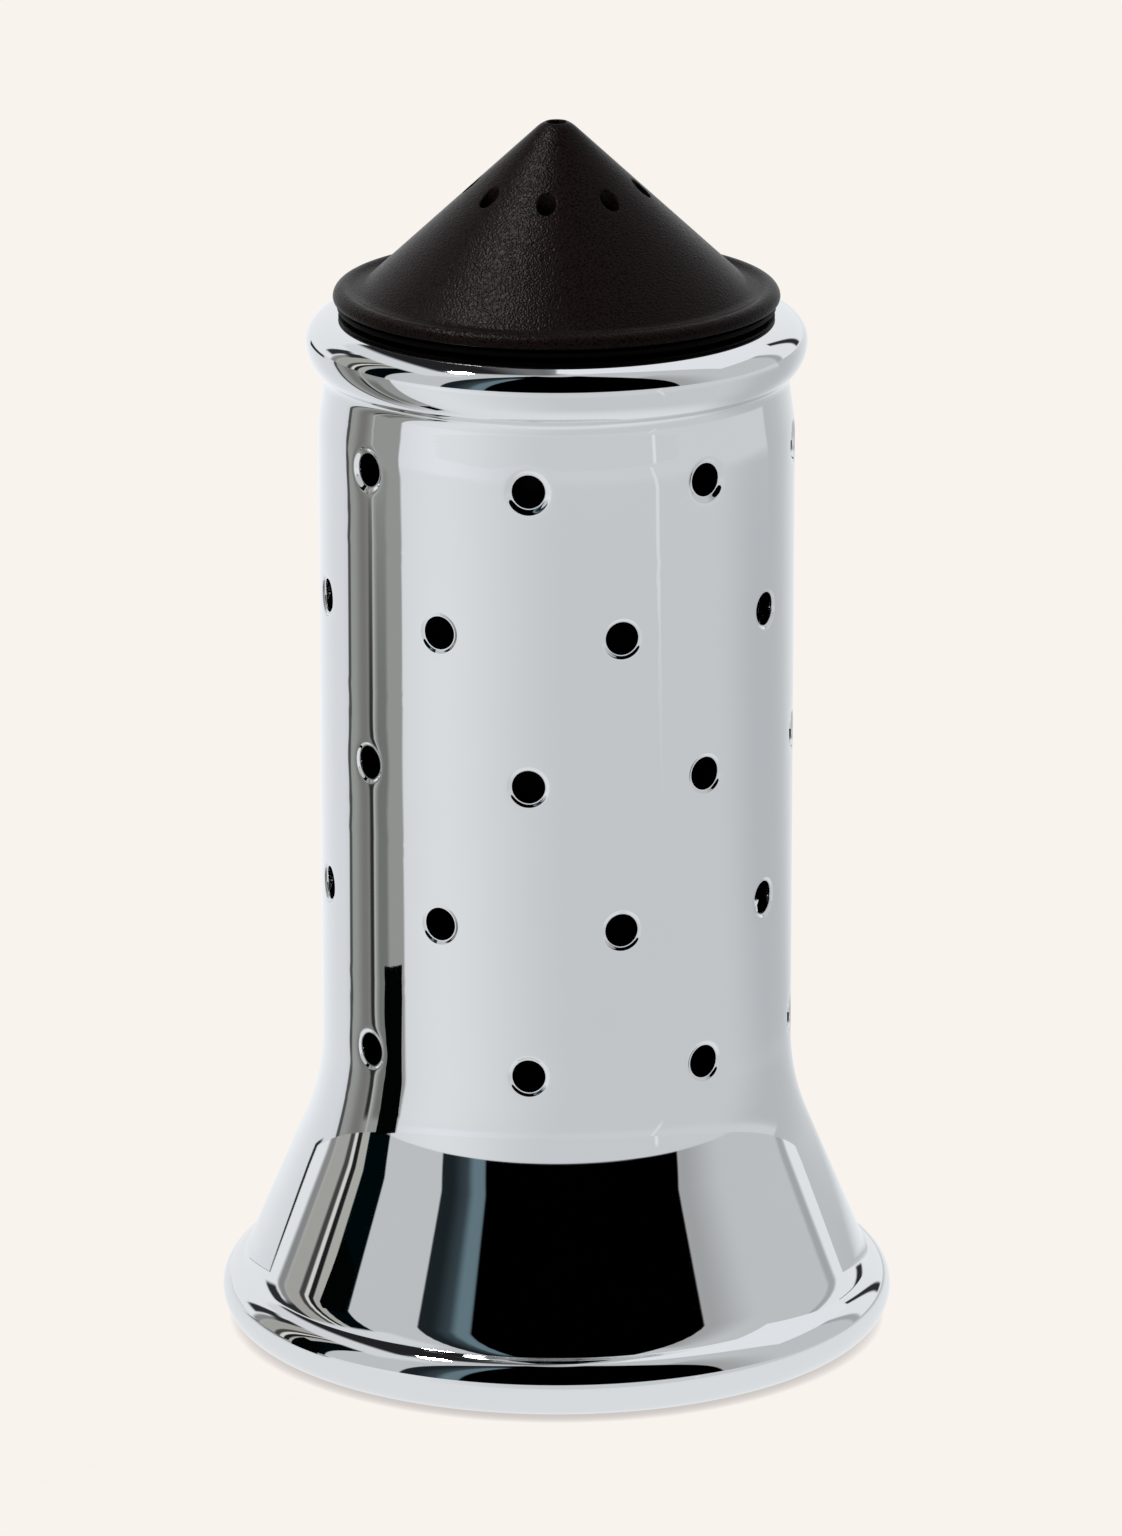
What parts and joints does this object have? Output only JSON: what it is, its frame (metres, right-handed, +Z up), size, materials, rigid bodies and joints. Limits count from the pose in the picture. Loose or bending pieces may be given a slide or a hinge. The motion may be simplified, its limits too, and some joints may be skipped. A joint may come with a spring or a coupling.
{
  "type": "salt shaker",
  "caption": "Salt shaker with a perforated mirror-steel casing on a flared foot, a plastic salt liner inside and a cone-shaped screw cap with pouring holes.",
  "frame": {"origin": "centre of the foot, on the surface that the shaker stands on", "axes": "+Z up along the shaker's axis, -Y towards the viewer of the picture"},
  "size_m": [0.0574, 0.0574, 0.1044],
  "materials": {
    "mirror_steel": "mirror-polished stainless steel",
    "liner_plastic": "smooth moulded black polyamide",
    "cap_plastic": "fine-grained black-brown polyamide",
    "seal_rubber": "matt black rubber",
    "plate_plastic": "moulded black polyamide",
    "screw_steel": "bright stainless steel",
    "washer_steel": "plain stainless steel",
    "insert_brass": "turned brass"
  },
  "bodies": {
    "shaker_body": {"casing": "mirror_steel", "salt_liner": "liner_plastic", "base_plate": "plate_plastic", "base_screw": "screw_steel", "screw_washer": "washer_steel", "boss_insert": "insert_brass"},
    "seal": {"cap_seal": "seal_rubber"},
    "cap": {"shaker_cap": "cap_plastic"}
  },
  "joints": [
    {"name": "cap_rise", "type": "slide", "parent": "shaker_body", "child": "seal", "axis": [0, 0, 1], "range_m": [0, 0.004]},
    {"name": "cap_turn", "type": "hinge", "parent": "seal", "child": "cap", "pos_m": [0, 0, 0.0893], "axis": [0, 0, 1], "range_deg": [0, 360]}
  ],
  "couplings": [
    {"joint": "cap_turn", "follows": "cap_rise", "rad_per_m": 1570.8}
  ]
}
